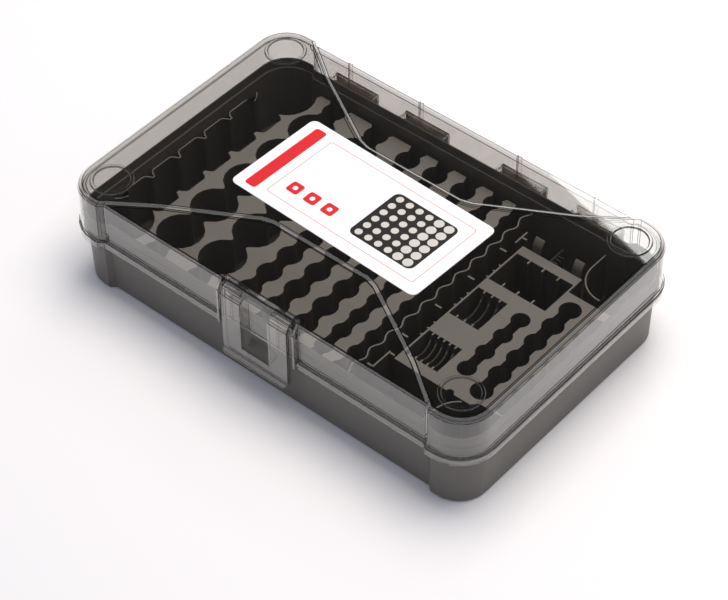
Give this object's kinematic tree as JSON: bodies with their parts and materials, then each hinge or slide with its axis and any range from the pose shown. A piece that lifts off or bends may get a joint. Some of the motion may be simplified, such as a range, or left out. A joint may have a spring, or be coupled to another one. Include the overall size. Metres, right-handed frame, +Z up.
{
  "type": "battery storage case",
  "caption": "Flat battery storage case: dark tray with scalloped cell racks, smoked clear hinged lid with a card on it, and a front latch.",
  "frame": {"origin": "middle of the case's footprint, on the surface that it stands on", "axes": "+X along the case's length to the right, +Y from the latch to the hinges, +Z up"},
  "size_m": [0.295, 0.195, 0.07],
  "materials": {
    "tray_polypropylene": "fine moulded grain",
    "rack_polypropylene": "fine moulded grain",
    "smoked_polycarbonate": "clear, smoked, polished",
    "card_stock": "coated card",
    "pin_steel": "drawn wire"
  },
  "bodies": {
    "base": {"base_shell": "tray_polypropylene", "rack_floor": "rack_polypropylene", "nine_volt_wall": "rack_polypropylene", "nine_volt_ridge": "rack_polypropylene", "c_ridge": "rack_polypropylene", "c_aa_ridge": "rack_polypropylene", "aa_ridge_left": "rack_polypropylene", "aa_ridge_right": "rack_polypropylene", "aa_aaa_ridge": "rack_polypropylene", "aaa_ridge": "rack_polypropylene", "wave_wall": "rack_polypropylene", "channel_wall": "rack_polypropylene", "small_cell_tray": "rack_polypropylene", "small_cell_ridge_left": "rack_polypropylene", "small_cell_ridge_right": "rack_polypropylene", "small_cell_ridge_outer": "rack_polypropylene", "coin_rack_large": "rack_polypropylene", "coin_rack_small": "rack_polypropylene", "tester_clip_left": "rack_polypropylene", "tester_clip_right": "rack_polypropylene", "terminal_rack": "rack_polypropylene", "rear_corner_wall": "rack_polypropylene", "front_corner_wall": "rack_polypropylene", "hinge_pin_1": "pin_steel", "hinge_pin_2": "pin_steel", "hinge_pin_3": "pin_steel", "hinge_pin_4": "pin_steel"},
    "lid": {"lid_shell": "smoked_polycarbonate", "label_card": "card_stock", "latch_pin_left": "pin_steel", "latch_pin_right": "pin_steel"},
    "latch": {"latch_plate": "smoked_polycarbonate"}
  },
  "joints": [
    {"name": "lid_hinge", "type": "hinge", "parent": "base", "child": "lid", "pos_m": [0, 0.0928, 0.0368], "axis": [-1, 0, 0], "range_deg": [0, 105]},
    {"name": "latch_pivot", "type": "hinge", "parent": "lid", "child": "latch", "pos_m": [0, -0.0887, 0.0661], "axis": [-1, 0, 0], "range_deg": [0, 100]}
  ]
}
